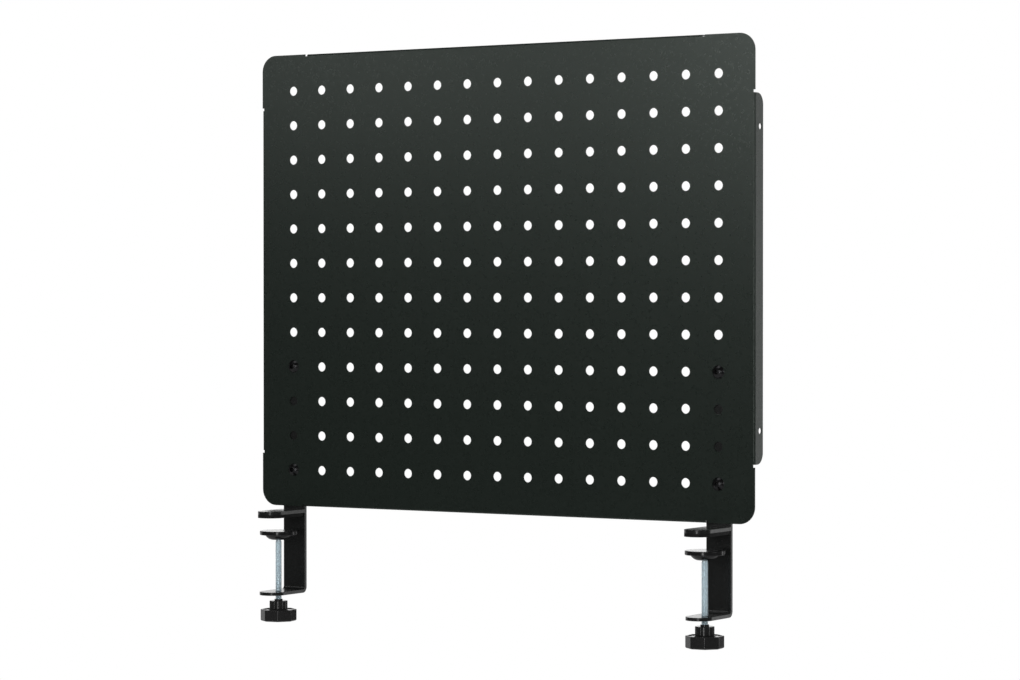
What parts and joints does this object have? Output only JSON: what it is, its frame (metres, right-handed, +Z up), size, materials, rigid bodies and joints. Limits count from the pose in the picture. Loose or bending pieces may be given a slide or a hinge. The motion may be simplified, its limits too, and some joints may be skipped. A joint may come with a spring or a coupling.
{
  "type": "clamp-on desk pegboard",
  "caption": "Desk pegboard of folded sheet steel, held upright at the desk's edge by two C-clamps with bent strips, padded jaws, ball-ended screws and knobs",
  "frame": {"origin": "on the desk top at its rear edge, midway between the two clamps: the plane of the upper jaws' soft pads and the plane of the strips' front faces", "axes": "+X to the right seen from the front, +Y away from the user, +Z up; the front faces -Y"},
  "size_m": [0.5186, 0.0625, 0.5243],
  "materials": {
    "panel_paint": "satin powder coat, dark green-black",
    "clamp_paint": "semi-gloss black",
    "pad_rubber": "matte black",
    "pad_plastic": "glossy black",
    "knob_plastic": "satin black",
    "zinc_rod": "bright zinc plate with a blue tint",
    "screw_black": "black oxide",
    "brass": "turned"
  },
  "bodies": {
    "frame": {"pegboard_panel": "panel_paint", "left_clamp_bracket": "clamp_paint", "left_upper_jaw": "clamp_paint", "left_jaw_pad": "pad_rubber", "left_panel_screws": "screw_black", "left_panel_washers": "screw_black", "left_panel_nuts": "screw_black", "right_clamp_bracket": "clamp_paint", "right_upper_jaw": "clamp_paint", "right_jaw_pad": "pad_rubber", "right_panel_screws": "screw_black", "right_panel_washers": "screw_black", "right_panel_nuts": "screw_black"},
    "left_pad": {"left_pressure_pad": "pad_plastic"},
    "left_screw": {"left_clamp_screw": "zinc_rod", "left_clamp_knob": "knob_plastic", "left_knob_insert": "brass"},
    "right_pad": {"right_pressure_pad": "pad_plastic"},
    "right_screw": {"right_clamp_screw": "zinc_rod", "right_clamp_knob": "knob_plastic", "right_knob_insert": "brass"}
  },
  "joints": [
    {"name": "left_screw_feed", "type": "slide", "parent": "frame", "child": "left_pad", "axis": [0, 0, 1], "range_m": [-0.0472, 0.0042]},
    {"name": "left_screw_turn", "type": "hinge", "parent": "left_pad", "child": "left_screw", "pos_m": [-0.224, -0.0248, -0.0173], "axis": [0, 0, 1], "range_deg": [-16993, 1514]},
    {"name": "right_screw_feed", "type": "slide", "parent": "frame", "child": "right_pad", "axis": [0, 0, 1], "range_m": [-0.0472, 0.0042]},
    {"name": "right_screw_turn", "type": "hinge", "parent": "right_pad", "child": "right_screw", "pos_m": [0.224, -0.0248, -0.0173], "axis": [0, 0, 1], "range_deg": [-16993, 1514]}
  ],
  "couplings": [
    {"joint": "left_screw_turn", "follows": "left_screw_feed", "rad_per_m": 6283.2},
    {"joint": "right_screw_turn", "follows": "right_screw_feed", "rad_per_m": 6283.2}
  ]
}
